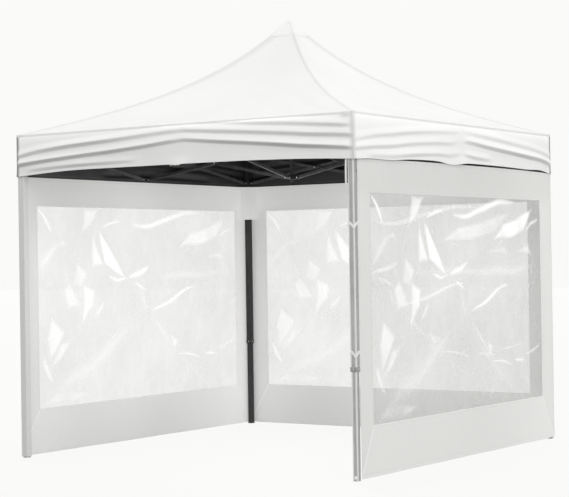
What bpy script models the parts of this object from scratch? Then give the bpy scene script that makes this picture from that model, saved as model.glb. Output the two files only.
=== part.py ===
"""Pop-up gazebo tent: telescoping legs, a scissor truss with a centre mast, a pointed cover with
valances, and three cloth walls that each hold a clear window. The front, facing -Y, is open.

Metres, +Z up. The origin is on the ground under the peak.
"""
import math

import bmesh
import bpy
from mathutils import Matrix, Vector

# Cover
HALF_PLAN = 1.5
PEAK_HEIGHT = 3.342
EAVE_HEIGHT = 2.434
VALANCE_FOOT_CORNER = 2.119
VALANCE_FOOT_MIDDLE = 2.149
ROOF_CURVE_LENGTH = 0.52
ROOF_CURVE_SHARE = 0.58
PANEL_SAG = 0.05
ROOF_RINGS = 10
RING_CROWDING = 1.3
COVER_THICKNESS = 0.004

# Legs
LEG_CENTRE = 1.465
OUTER_HALF = 0.0225
OUTER_WALL = 0.002
OUTER_FOOT = 0.72
OUTER_TOP = 2.362
COLLAR_HALF = 0.0245
COLLAR_HEIGHT = 0.03
COLLAR_CLEARANCE = 0.0005
INNER_HALF = 0.019
INNER_WALL = 0.002
INNER_TOP = 1.07
PLATE_THICKNESS = 0.006
PLATE_HALF = 0.0225
PLATE_BY_WALL = 0.0205

# Truss
BAR_HALF_HEIGHT = 0.0125
BAR_THICKNESS = 0.012
FORK_RADIUS = 0.014
FORK_THICKNESS = 0.003
LEG_PIN = 0.05
MIDDLE_PIN = 0.035
ARM_PIN = 0.045
HUB_PIN = 0.055
UPPER_PIN_HEIGHT = 2.395
SLIDER_PIN_HEIGHT = 2.157
LOWER_PIN_HEIGHT = 2.145
HUB_UPPER_HEIGHT = 2.36
HUB_LOWER_HEIGHT = 2.105
BRACKET_HALF = 0.0245
SLIDER_HALF = 0.0288
SLIDER_HALF_HEIGHT = 0.02
MIDDLE_HALF_WIDTH = 0.018
MIDDLE_HALF_HEIGHT = 0.012
HUB_HALF = 0.026
HUB_HALF_HEIGHT = 0.016
MAST_RADIUS = 0.0125
MAST_FOOT = 2.07
CAP_TIP_RADIUS = 0.006
CAP_RADIUS = 0.035
CAP_RIM = 0.012
CAP_NECK = 0.036

# Walls
WALL_THICKNESS = 0.003
WALL_FOOT = 0.010
WALL_TOP = 2.122
WINDOW_FOOT = 0.352
WINDOW_TOP = 1.902
WINDOW_HALF = 1.288
FILM_THICKNESS = 0.002
WALL_BY_LEG = 0.001
WALL_LAP = 0.005
STRAP_HEIGHTS = (0.84, 1.69)
STRAP_HALF_HEIGHT = 0.0125
STRAP_THICKNESS = 0.004
FLAP_FOOT = 1.83
FLAP_BITE = 0.2
TRIM_MARGIN = 0.01

# Gap that separate pieces keep where they rest on each other
GAP = 0.0003
ROUND_SIDES = 8
MAST_SIDES = 16
SLOPE_STEP = 0.001
FLAT_ANGLE = 0.001

WALL_FACE_BACK = HALF_PLAN - COVER_THICKNESS - GAP
WALL_FACE_FRONT = LEG_CENTRE + COLLAR_HALF + WALL_BY_LEG + WALL_THICKNESS
BAR_OFFSET = (BAR_THICKNESS + GAP) / 2

CORNERS = {"front_right": 0, "back_right": 1, "back_left": 2, "front_left": 3}
SIDES = {"front": 0, "right": 1, "back": 2, "left": 3}

COLOURS = {
    "bright_steel": ((0.60, 0.60, 0.61), 0.38, 1.0),
    "dark_steel": ((0.06, 0.06, 0.065), 0.45, 0.8),
    "truss_steel": ((0.22, 0.22, 0.23), 0.45, 0.9),
    "black_plastic": ((0.015, 0.015, 0.015), 0.5, 0.0),
    "cover_cloth": ((0.88, 0.88, 0.88), 0.8, 0.0),
    "wall_cloth": ((0.66, 0.66, 0.65), 0.8, 0.0),
    "clear_film": ((0.86, 0.87, 0.87), 0.15, 0.0),
}


def clear_scene():
    """Remove every object that the file starts with."""
    for item in list(bpy.data.objects):
        bpy.data.objects.remove(item, do_unlink=True)


def make_collection(name):
    """A new collection linked to the scene."""
    group = bpy.data.collections.new(name)
    bpy.context.scene.collection.children.link(group)
    return group


def make_material(name):
    """A Principled material from the table of finishes."""
    colour, roughness, metallic = COLOURS[name]
    finish = bpy.data.materials.new(name)
    finish.use_nodes = True
    shader = finish.node_tree.nodes["Principled BSDF"]
    shader.inputs["Base Color"].default_value = (*colour, 1.0)
    shader.inputs["Roughness"].default_value = roughness
    shader.inputs["Metallic"].default_value = metallic
    finish.diffuse_color = (*colour, 1.0)
    return finish


def shape_from(bm, name="shape"):
    """A loose object in the cutters collection, made from a bmesh."""
    mesh = bpy.data.meshes.new(name)
    bm.to_mesh(mesh)
    bm.free()
    item = bpy.data.objects.new(name, mesh)
    tools.objects.link(item)
    item.hide_render = True
    item.display_type = "WIRE"
    return item


def box(low, high):
    """A box between two corners."""
    bm = bmesh.new()
    bmesh.ops.create_cube(bm, size=1.0)
    size = Vector(high) - Vector(low)
    centre = (Vector(high) + Vector(low)) / 2
    bmesh.ops.scale(bm, vec=size, verts=bm.verts)
    bmesh.ops.translate(bm, vec=centre, verts=bm.verts)
    return shape_from(bm)


def square_ring(centre, inner_half, outer_half, foot, top):
    """A square tube: the four sides of a box, thickened inwards."""
    bm = bmesh.new()
    bmesh.ops.create_cube(bm, size=1.0)
    ends = [face for face in bm.faces if abs(face.normal.z) > 0.5]
    bmesh.ops.delete(bm, geom=ends, context="FACES_ONLY")
    bmesh.ops.scale(bm, vec=(2 * outer_half, 2 * outer_half, top - foot), verts=bm.verts)
    bmesh.ops.translate(bm, vec=(centre[0], centre[1], (top + foot) / 2), verts=bm.verts)
    ring = shape_from(bm)
    wall = ring.modifiers.new("wall", "SOLIDIFY")
    wall.thickness = outer_half - inner_half
    wall.offset = -1.0
    wall.use_even_offset = True
    return ring


def link_plate(start, end, radius, normal, centre, thickness):
    """A flat plate with round ends about two pins.

    start and end are (along, height) pairs, normal is "x" or "y", and centre is the plate's place
    on that axis.
    """
    bm = bmesh.new()
    turn = Matrix.Rotation(math.atan2(end[1] - start[1], end[0] - start[0]), 3, "Z")
    for along, height in (start, end):
        for face_height in (-thickness / 2, thickness / 2):
            made = bmesh.ops.create_circle(bm, cap_ends=False, segments=ROUND_SIDES, radius=radius)
            bmesh.ops.rotate(bm, matrix=turn, verts=made["verts"])
            bmesh.ops.translate(bm, vec=(along, height, face_height), verts=made["verts"])
    bmesh.ops.convex_hull(bm, input=bm.verts)
    bmesh.ops.delete(bm, geom=[edge for edge in bm.edges if not edge.link_faces], context="EDGES")
    bmesh.ops.delete(bm, geom=[vert for vert in bm.verts if not vert.link_faces], context="VERTS")
    bmesh.ops.dissolve_limit(bm, angle_limit=FLAT_ANGLE, verts=bm.verts, edges=bm.edges)
    columns = (Vector((1, 0, 0)), Vector((0, 0, 1)), Vector((0, -1, 0)))
    if normal == "x":
        columns = (Vector((0, 1, 0)), Vector((0, 0, 1)), Vector((1, 0, 0)))
    turn = Matrix(columns).transposed()
    place = Vector((centre, 0, 0)) if normal == "x" else Vector((0, centre, 0))
    bmesh.ops.transform(bm, matrix=Matrix.Translation(place) @ turn.to_4x4(), verts=bm.verts)
    return shape_from(bm)


def fork(start, end, normal, centre):
    """Two cheeks on either side of a bar whose middle plane is at centre."""
    reach = (BAR_THICKNESS + FORK_THICKNESS) / 2 + GAP
    return [link_plate(start, end, FORK_RADIUS, normal, centre + side * reach, FORK_THICKNESS)
            for side in (-1, 1)]


def finished(base, joins=(), cuts=()):
    """The mesh of a shape after its joins and cuts; the loose shapes are removed."""
    for operation, group in (("UNION", joins), ("DIFFERENCE", cuts)):
        for tool in group:
            step = base.modifiers.new(operation.lower(), "BOOLEAN")
            step.operation = operation
            step.solver = "EXACT"
            step.object = tool
    depsgraph = bpy.context.evaluated_depsgraph_get()
    mesh = bpy.data.meshes.new_from_object(base.evaluated_get(depsgraph))
    for item in (base, *joins, *cuts):
        bpy.data.objects.remove(item, do_unlink=True)
    return mesh


def place(name, mesh, finish, quarter_turns=0):
    """Put one named piece in the tent, turned about the vertical by quarter turns."""
    item = bpy.data.objects.new(name, mesh)
    item.rotation_euler = (0.0, 0.0, quarter_turns * math.pi / 2)
    if not mesh.materials:
        mesh.materials.append(finishes[finish])
    item.material_slots[0].link = "OBJECT"
    item.material_slots[0].material = finishes[finish]
    parts.objects.link(item)
    return item


def hip_height(reach):
    """Height of a hip: a straight slope mixed with a curve that steepens towards the peak."""
    fade = math.exp(-HALF_PLAN / ROOF_CURVE_LENGTH)
    curve = (math.exp(-reach / ROOF_CURVE_LENGTH) - fade) / (1.0 - fade)
    straight = 1.0 - reach / HALF_PLAN
    share = ROOF_CURVE_SHARE * curve + (1.0 - ROOF_CURVE_SHARE) * straight
    return EAVE_HEIGHT + (PEAK_HEIGHT - EAVE_HEIGHT) * share


def roof_height(x, y):
    """Height of the cover: the hips' curve, less a sag that is deepest midway along each panel."""
    reach = max(abs(x), abs(y))
    if reach == 0.0:
        return PEAK_HEIGHT
    across = min(abs(x), abs(y)) / reach
    down = reach / HALF_PLAN
    return hip_height(reach) - PANEL_SAG * 4.0 * down * (1.0 - down) * (1.0 - across ** 2)


def underside(x, y):
    """Height of the cover's inner face, less the gap that a piece under it keeps."""
    reach = max(abs(x), abs(y))
    slope = (hip_height(reach + SLOPE_STEP) - hip_height(reach)) / SLOPE_STEP
    return roof_height(x, y) - COVER_THICKNESS * math.hypot(1.0, slope) - GAP


def valance_foot(along):
    """Height of the valance's lower edge, which rises from the corners to the middle of a side."""
    rise = VALANCE_FOOT_MIDDLE - VALANCE_FOOT_CORNER
    return VALANCE_FOOT_CORNER + rise * (1.0 - abs(along) / HALF_PLAN)


def cover():
    """The pointed roof with its four valances, as one sewn sheet."""
    bm = bmesh.new()
    bmesh.ops.create_grid(bm, x_segments=2 * ROOF_RINGS, y_segments=2 * ROOF_RINGS, size=1.0)
    for vert in bm.verts:
        ring = max(abs(vert.co.x), abs(vert.co.y))
        if ring > 0.0:
            stretch = HALF_PLAN * ring ** RING_CROWDING / ring
            vert.co.x *= stretch
            vert.co.y *= stretch
        vert.co.z = roof_height(vert.co.x, vert.co.y)
    for face in list(bm.faces):
        centre = face.calc_center_median()
        way = 1.0 if centre.x * centre.y > 0.0 else -1.0
        in_order = sorted(face.verts, key=lambda vert: vert.co.x + way * vert.co.y)
        bmesh.utils.face_split(face, in_order[0], in_order[-1])
    rim = [edge for edge in bm.edges if edge.is_boundary]
    made = bmesh.ops.extrude_edge_only(bm, edges=rim)
    for vert in (item for item in made["geom"] if isinstance(item, bmesh.types.BMVert)):
        vert.co.z = valance_foot(min(abs(vert.co.x), abs(vert.co.y)))
    bmesh.ops.recalc_face_normals(bm, faces=bm.faces)
    top = max(bm.faces, key=lambda face: face.calc_center_median().z)
    if top.normal.z < 0.0:
        bmesh.ops.reverse_faces(bm, faces=bm.faces)
    sheet = shape_from(bm)
    cloth = sheet.modifiers.new("cloth", "SOLIDIFY")
    cloth.thickness = COVER_THICKNESS
    cloth.offset = -1.0
    cloth.use_even_offset = True
    place("canopy", finished(sheet), "cover_cloth")


def outer_leg():
    """The outer tube with the guide collar round its lower end."""
    centre = (LEG_CENTRE, -LEG_CENTRE)
    tube = square_ring(centre, OUTER_HALF - OUTER_WALL, OUTER_HALF, OUTER_FOOT, OUTER_TOP - GAP)
    collar_inner = INNER_HALF + COLLAR_CLEARANCE
    collar = square_ring(
        centre, collar_inner, COLLAR_HALF, OUTER_FOOT - COLLAR_CLEARANCE, OUTER_FOOT + COLLAR_HEIGHT)
    return finished(tube, joins=[collar])


def inner_leg(plate_low, plate_high, corner):
    """The inner tube standing on its foot plate; the plate's corners are offsets from the leg."""
    centre = Vector(corner)
    tube = square_ring(centre, INNER_HALF - INNER_WALL, INNER_HALF, PLATE_THICKNESS / 2, INNER_TOP)
    low = (centre.x + plate_low[0], centre.y + plate_low[1], 0.0)
    high = (centre.x + plate_high[0], centre.y + plate_high[1], PLATE_THICKNESS)
    return finished(tube, joins=[box(low, high)])


def corner_bracket():
    """The head of the front right leg, with a fork for a bar of each of its two sides."""
    near = LEG_CENTRE - BRACKET_HALF
    far = LEG_CENTRE + BRACKET_HALF
    head = box((near, -far, OUTER_TOP), (far, -near, underside(far, far)))
    start = (near + FORK_RADIUS, UPPER_PIN_HEIGHT)
    end = (LEG_CENTRE - LEG_PIN, UPPER_PIN_HEIGHT)
    front_fork = fork(start, end, "y", -LEG_CENTRE + BAR_OFFSET)
    side_fork = fork((-start[0], start[1]), (-end[0], end[1]), "x", LEG_CENTRE - BAR_OFFSET)
    return finished(head, joins=front_fork + side_fork)


def slider():
    """The sliding collar on the front right leg, with a fork for the lower bar of each side."""
    foot = SLIDER_PIN_HEIGHT - SLIDER_HALF_HEIGHT
    top = SLIDER_PIN_HEIGHT + SLIDER_HALF_HEIGHT
    ring = square_ring((LEG_CENTRE, -LEG_CENTRE), OUTER_HALF + GAP, SLIDER_HALF, foot, top)
    start = (LEG_CENTRE - SLIDER_HALF + FORK_THICKNESS, SLIDER_PIN_HEIGHT)
    end = (LEG_CENTRE - LEG_PIN, SLIDER_PIN_HEIGHT)
    joins = fork(start, end, "y", -LEG_CENTRE - BAR_OFFSET)
    joins += fork((-start[0], start[1]), (-end[0], end[1]), "x", LEG_CENTRE + BAR_OFFSET)
    bore = box(
        (LEG_CENTRE - OUTER_HALF - GAP, -LEG_CENTRE - OUTER_HALF - GAP, foot - GAP),
        (LEG_CENTRE + OUTER_HALF + GAP, -LEG_CENTRE + OUTER_HALF + GAP, top + GAP))
    return finished(ring, joins=joins, cuts=[bore])


def middle_bracket(height, bar_side, arm_side):
    """A bracket midway along the front, with forks for two side bars and for one centre arm."""
    low = (-MIDDLE_HALF_WIDTH, -LEG_CENTRE - MIDDLE_HALF_WIDTH, height - MIDDLE_HALF_HEIGHT)
    high = (MIDDLE_HALF_WIDTH, -LEG_CENTRE + MIDDLE_HALF_WIDTH, height + MIDDLE_HALF_HEIGHT)
    bar_plane = -LEG_CENTRE + bar_side * BAR_OFFSET
    bar_fork = fork((-MIDDLE_PIN, height), (MIDDLE_PIN, height), "y", bar_plane)
    arm_pin = (-LEG_CENTRE + ARM_PIN, height)
    arm_fork = fork((-LEG_CENTRE, height), arm_pin, "x", arm_side * BAR_OFFSET)
    return finished(box(low, high), joins=bar_fork + arm_fork)


def hub(height, arm_side):
    """A block on the mast with four forks for the centre arms."""
    low = (-HUB_HALF, -HUB_HALF, height - HUB_HALF_HEIGHT)
    high = (HUB_HALF, HUB_HALF, height + HUB_HALF_HEIGHT)
    blocks = [box(low, high)]
    for way in (-1, 1):
        start = (way * HUB_HALF / 2, height)
        pin = (way * HUB_PIN, height)
        plane = way * arm_side * BAR_OFFSET
        blocks += fork(start, pin, "x", -plane)
        blocks += fork(start, pin, "y", plane)
    return blocks


def turned(profile):
    """A round solid from a profile at +X that runs down its outer side."""
    mesh = bpy.data.meshes.new("profile")
    points = [(radius, 0.0, height) for radius, height in profile]
    mesh.from_pydata(points, [(i, i + 1) for i in range(len(points) - 1)], [])
    item = bpy.data.objects.new("profile", mesh)
    tools.objects.link(item)
    spin = item.modifiers.new("spin", "SCREW")
    spin.steps = MAST_SIDES
    spin.render_steps = MAST_SIDES
    spin.use_merge_vertices = True
    spin.merge_threshold = 0.0001
    return item


def mast():
    """The centre mast with the upper hub on it and a cap that lifts the cover's peak."""
    rim = underside(CAP_RADIUS, 0.0)
    profile = [
        (0.0, underside(CAP_TIP_RADIUS, 0.0)),
        (CAP_TIP_RADIUS, underside(CAP_TIP_RADIUS, 0.0)),
        (CAP_RADIUS, rim),
        (CAP_RADIUS, rim - CAP_RIM),
        (MAST_RADIUS, rim - CAP_NECK),
        (MAST_RADIUS, MAST_FOOT),
        (0.0, MAST_FOOT),
    ]
    place("mast", finished(turned(profile), joins=hub(HUB_UPPER_HEIGHT, -1)), "black_plastic")


def lower_hub():
    """The lower hub, which slides on the mast."""
    radius = MAST_RADIUS + GAP
    top = HUB_LOWER_HEIGHT + HUB_HALF
    foot = HUB_LOWER_HEIGHT - HUB_HALF
    bore = turned([(0.0, top), (radius, top), (radius, foot), (0.0, foot)])
    blocks = hub(HUB_LOWER_HEIGHT, 1)
    place("hub_lower", finished(blocks[0], joins=blocks[1:], cuts=[bore]), "black_plastic")


def side_bars():
    """The four bars of the front truss: two crossing pairs from the legs to the middle brackets."""
    leg_pin = LEG_CENTRE - LEG_PIN
    bars = []
    for way in (-1, 1):
        falling = ((way * leg_pin, UPPER_PIN_HEIGHT), (way * MIDDLE_PIN, LOWER_PIN_HEIGHT), 1)
        rising = ((way * leg_pin, SLIDER_PIN_HEIGHT), (way * MIDDLE_PIN, UPPER_PIN_HEIGHT), -1)
        for start, end, side in (falling, rising):
            plane = -LEG_CENTRE + side * BAR_OFFSET
            bars.append(finished(link_plate(start, end, BAR_HALF_HEIGHT, "y", plane, BAR_THICKNESS)))
    return bars


def centre_arms():
    """The two crossing bars from the middle of the front to the mast's hubs."""
    start = -LEG_CENTRE + ARM_PIN
    routes = {
        "upper": ((start, UPPER_PIN_HEIGHT), (-HUB_PIN, HUB_LOWER_HEIGHT), 1),
        "lower": ((start, LOWER_PIN_HEIGHT), (-HUB_PIN, HUB_UPPER_HEIGHT), -1),
    }
    return {name: finished(link_plate(a, b, BAR_HALF_HEIGHT, "x", side * BAR_OFFSET, BAR_THICKNESS))
            for name, (a, b, side) in routes.items()}


def sheet_along(path, heights, thickness, hole=False):
    """A sheet that stands on a path in plan, thickened both ways; a hole takes out its largest cell."""
    bm = bmesh.new()
    bmesh.ops.create_grid(bm, x_segments=len(path) - 1, y_segments=len(heights) - 1, size=1.0)
    for vert in bm.verts:
        column = round((vert.co.x + 1.0) / 2.0 * (len(path) - 1))
        row = round((vert.co.y + 1.0) / 2.0 * (len(heights) - 1))
        vert.co = (*path[column], heights[row])
    if hole:
        middle = max(bm.faces, key=lambda face: face.calc_area())
        bmesh.ops.delete(bm, geom=[middle], context="FACES_ONLY")
    sheet = shape_from(bm)
    cloth = sheet.modifiers.new("cloth", "SOLIDIFY")
    cloth.thickness = thickness
    cloth.offset = 0.0
    cloth.use_even_offset = True
    return sheet


def side_wall_line(y):
    """The right wall's middle plane, just outside both its legs."""
    front_y = -LEG_CENTRE - OUTER_HALF
    back_y = WALL_FACE_BACK - WALL_THICKNESS - GAP
    share = (y - front_y) / (back_y - front_y)
    return WALL_FACE_FRONT + share * (WALL_FACE_BACK - WALL_FACE_FRONT) - WALL_THICKNESS / 2


def leg_straps(way):
    """The two straps that hold a side wall to its front leg."""
    return [square_ring(
        (way * LEG_CENTRE, -LEG_CENTRE), OUTER_HALF + GAP, OUTER_HALF + GAP + STRAP_THICKNESS,
        height - STRAP_HALF_HEIGHT, height + STRAP_HALF_HEIGHT) for height in STRAP_HEIGHTS]


def side_wall(name, way, wraps_leg):
    """One side wall with its window; it may wrap round the outside, front and inside of its front leg."""
    rows = (WALL_FOOT, WINDOW_FOOT, WINDOW_TOP, WALL_TOP)
    front_y = -LEG_CENTRE + OUTER_HALF - WALL_LAP
    back_y = WALL_FACE_BACK - WALL_THICKNESS - GAP
    path = [(way * side_wall_line(y), y) for y in (front_y, -WINDOW_HALF, WINDOW_HALF, back_y)]
    if wraps_leg:
        front_face = -WALL_FACE_BACK + WALL_THICKNESS / 2
        inside = way * (LEG_CENTRE - COLLAR_HALF - WALL_BY_LEG - WALL_THICKNESS / 2)
        path[0] = (way * side_wall_line(front_face), front_face)
        path[:0] = [(inside, -LEG_CENTRE + OUTER_HALF), (inside, front_face)]
    wall = sheet_along(path, rows, WALL_THICKNESS, hole=True)
    place(f"wall_{name}", finished(wall, joins=leg_straps(way)), "wall_cloth")
    film_path = [(way * side_wall_line(y), y) for y in (-WINDOW_HALF + GAP, WINDOW_HALF - GAP)]
    film = sheet_along(film_path, (WINDOW_FOOT + GAP, WINDOW_TOP - GAP), FILM_THICKNESS)
    place(f"window_{name}", finished(film), "clear_film")


def corner_flap(way):
    """A flap across a back corner, from the back wall to the side wall, in front of the leg."""
    corner = LEG_CENTRE - OUTER_HALF
    reach = WALL_FACE_BACK - FLAP_BITE * WALL_THICKNESS - corner
    length = 2 * math.sqrt(2) * reach
    flap = box((-length / 2, -WALL_THICKNESS, FLAP_FOOT), (length / 2, 0.0, WALL_TOP))
    bpy.context.view_layer.update()
    turn = Matrix.Rotation(-way * math.pi / 4, 4, "Z")
    inset = GAP / math.sqrt(2)
    flap.data.transform(Matrix.Translation((way * (corner - inset), corner - inset, 0.0)) @ turn)
    trim_from = side_wall_line(corner - reach) - WALL_THICKNESS / 2 - GAP
    trim_low = (trim_from, corner - reach - WALL_THICKNESS, FLAP_FOOT - TRIM_MARGIN)
    trim = box(trim_low, (HALF_PLAN, HALF_PLAN, WALL_TOP + TRIM_MARGIN))
    if way < 0:
        trim.data.transform(Matrix.Translation((-HALF_PLAN - trim_from, 0.0, 0.0)))
    cut = flap.modifiers.new("trim", "BOOLEAN")
    cut.operation = "DIFFERENCE"
    cut.object = trim
    return flap, trim


def back_wall():
    """The back wall with its window and a flap in front of each back leg."""
    middle = WALL_FACE_BACK - WALL_THICKNESS / 2
    rows = (WALL_FOOT, WINDOW_FOOT, WINDOW_TOP, WALL_TOP)
    columns = (WALL_FACE_BACK, WINDOW_HALF, -WINDOW_HALF, -WALL_FACE_BACK)
    wall = sheet_along([(x, middle) for x in columns], rows, WALL_THICKNESS, hole=True)
    flaps = [corner_flap(way) for way in (-1, 1)]
    mesh = finished(wall, joins=[flap for flap, trim in flaps])
    for flap, trim in flaps:
        bpy.data.objects.remove(trim, do_unlink=True)
    place("wall_back", mesh, "wall_cloth")
    ends = (WINDOW_HALF - GAP, -WINDOW_HALF + GAP)
    film = sheet_along([(x, middle) for x in ends], (WINDOW_FOOT + GAP, WINDOW_TOP - GAP), FILM_THICKNESS)
    place("window_back", finished(film), "clear_film")


def legs_and_truss():
    """The four legs with their brackets, the four side trusses and the centre arms."""
    tube = outer_leg()
    bracket = corner_bracket()
    collar = slider()
    for name, turns in CORNERS.items():
        leg_finish = "dark_steel" if name.startswith("back") else "bright_steel"
        place(f"leg_outer_{name}", tube, leg_finish, turns)
        place(f"corner_bracket_{name}", bracket, "black_plastic", turns)
        place(f"slider_{name}", collar, "black_plastic", turns)
    by_wall = PLATE_BY_WALL
    half = PLATE_HALF
    plates = {
        "front_right": ((-half, -half), (by_wall, half), (1, -1)),
        "back_right": ((-half, -half), (half, half), (1, 1)),
        "back_left": ((-half, -half), (half, half), (-1, 1)),
        "front_left": ((-by_wall, -half), (by_wall, half), (-1, -1)),
    }
    for name, (low, high, corner) in plates.items():
        leg_finish = "dark_steel" if name.startswith("back") else "bright_steel"
        centre = (corner[0] * LEG_CENTRE, corner[1] * LEG_CENTRE)
        place(f"leg_inner_{name}", inner_leg(low, high, centre), leg_finish)
    upper = middle_bracket(UPPER_PIN_HEIGHT, -1, 1)
    lower = middle_bracket(LOWER_PIN_HEIGHT, 1, -1)
    bars = side_bars()
    arms = centre_arms()
    for name, turns in SIDES.items():
        place(f"middle_upper_{name}", upper, "black_plastic", turns)
        place(f"middle_lower_{name}", lower, "black_plastic", turns)
        for number, bar in enumerate(bars, start=1):
            place(f"{name}_bar_{number}", bar, "truss_steel", turns)
        for level, arm in arms.items():
            place(f"{name}_arm_{level}", arm, "truss_steel", turns)


clear_scene()
parts = make_collection("gazebo_tent")
tools = make_collection("cutters")
finishes = {name: make_material(name) for name in COLOURS}
cover()
legs_and_truss()
mast()
lower_hub()
side_wall("right", 1, wraps_leg=False)
side_wall("left", -1, wraps_leg=True)
back_wall()
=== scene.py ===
from contextlib import contextmanager
import math

import bmesh
import bpy
import numpy as np
from mathutils import Matrix, Vector


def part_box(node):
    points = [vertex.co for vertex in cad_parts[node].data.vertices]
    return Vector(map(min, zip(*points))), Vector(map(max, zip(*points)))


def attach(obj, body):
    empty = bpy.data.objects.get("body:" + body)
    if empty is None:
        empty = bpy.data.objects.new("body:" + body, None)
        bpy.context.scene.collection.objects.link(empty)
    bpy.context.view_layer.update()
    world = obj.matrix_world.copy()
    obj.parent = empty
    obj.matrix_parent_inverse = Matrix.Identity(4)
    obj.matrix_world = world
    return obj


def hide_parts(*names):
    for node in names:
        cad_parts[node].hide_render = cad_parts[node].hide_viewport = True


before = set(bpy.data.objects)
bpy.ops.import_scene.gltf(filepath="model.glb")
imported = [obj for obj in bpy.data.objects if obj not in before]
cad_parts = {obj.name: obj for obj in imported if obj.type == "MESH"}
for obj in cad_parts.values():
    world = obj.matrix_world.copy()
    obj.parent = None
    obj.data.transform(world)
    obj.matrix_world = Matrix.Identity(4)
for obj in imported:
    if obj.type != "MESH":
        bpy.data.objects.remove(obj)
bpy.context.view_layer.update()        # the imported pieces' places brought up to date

BODY = "frame_and_cover"
RNG = np.random.default_rng(7)

# Sizes of the tent, in metres, read from the frame or repeated from the CAD
COVER_LOW, COVER_HIGH = np.array(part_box("canopy"))
HALF, PEAK, FOOT_CORNER = COVER_HIGH[0], COVER_HIGH[2], COVER_LOW[2]
HEM_RISE = {"front": 0.03, "right": 0.03, "back": 0.002, "left": 0.002}
EAVE = 2.434
DROP = EAVE - FOOT_CORNER
ROOF_CURVE_LENGTH = 0.52
ROOF_CURVE_SHARE = 0.58
PANEL_SAG = 0.05
LEG_LOW, LEG_HIGH = np.array(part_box("leg_outer_front_right"))
LEG_CENTRE = (LEG_LOW[0] + LEG_HIGH[0]) / 2
COLLAR_HALF = (LEG_HIGH[0] - LEG_LOW[0]) / 2
COLLAR_FOOT = LEG_LOW[2]
OUTER_HALF = 0.0225
INNER_HALF = 0.019
WALL_LOW, WALL_HIGH = np.array(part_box("wall_back"))
WINDOW_LOW, WINDOW_HIGH = np.array(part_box("window_back"))
WINDOW_HALF = WINDOW_HIGH[0]
WALL_MIDDLE_BACK = (WINDOW_LOW[1] + WINDOW_HIGH[1]) / 2
RIGHT_WALL_START = -1.4475
RIGHT_WALL_RISE = 0.013
SLEEVE_INSIDE = 1.438
SLEEVE_START = -1.4425
FLAP_FOOT, FLAP_HEM, FLAP_REACH = 1.83, 0.012, 0.053
UPPER_PIN, SLIDER_PIN, LOWER_PIN = 2.395, 2.157, 2.145
HUB_UPPER, HUB_LOWER = 2.36, 2.105
LEG_PIN, MIDDLE_PIN, ARM_PIN, HUB_PIN = 0.05, 0.035, 0.045, 0.055
CORNERS = {"front_right": (1, -1), "back_right": (1, 1), "back_left": (-1, 1), "front_left": (-1, -1)}
SIDES = ("front", "right", "back", "left")

# Cloth
CLOTH = 0.0012
FILM = 0.002
CORNER_RADIUS = 0.009
HEM = 0.022
STITCH = 0.0022
RIM = 0.0012  # the extra rows and columns beside a wall's edges
# The roof's lip over the valances: rows of how far out and how far below the eave
LIP = ((0.0002, 0.003), (0.0004, 0.008), (0.0004, 0.0148), (0.0002, 0.016))
# The hips' painted shade is spread wider on the two hips at the outline, so they show darker
OUTLINE_HIP = 0.3  # how far off the two hips on the photograph's outline count, so that they show darker
PATCH_REACH, PATCH_LIFT = 0.11, 0.0016
WALL_SEAMS = (-1.12, 1.12)
WALL_SPACING = 0.02
# The sewn rim round a window, the cloth's gap to the window's box, and how far the film reaches past it
WINDOW_RIM, WINDOW_GAP, FILM_MARGIN = 0.014, 0.0003, 0.006
FILM_ROWS, FILM_COLUMNS = 180, 300
STRAP_LEVELS = {"low": 0.84, "high": 1.69}
STRAP_THICKNESS, STRAP_WIDTH, STRAP_BEND = 0.0014, 0.025, 0.005
TAIL_TOP, TAIL_LENGTH, TAIL_WIDTH = 2.135, 0.185, 0.014

# Metal: the bars' outer face off the side's middle plane, a fork's thickness, and the leg buttons' heights
BAR_FACE, FORK = 0.0123, 0.0034
BUTTON_LOW, BUTTON_HIGH = COLLAR_FOOT + 0.016, 2.10
COLLAR_BEND = 0.006

# The photograph's view: place, heading from +Y towards +X, tilt and roll, and focal length in pixels
CAMERA_PLACE = (7.306, -10.864, 1.46)
CAMERA_HEADING = -34.21
CAMERA_TILT = 0.40
CAMERA_ROLL = -0.89
CAMERA_FOCAL = 1679.3
PHOTO_WIDTH = 569.0

# Studio lamps: place, size in metres and power in watts; the one inside is a soft globe
LAMPS = {
    "key": ((6.0, -8.0, 9.0), 5.0, 150.0),
    "right": ((12.0, -2.5, 3.2), 5.0, 215.0),
    "fill": ((4.5, -11.0, 1.6), 5.0, 80.0),
    "inside": ((0.0, -0.1, 1.45), 0.4, 52.0),
}

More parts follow.
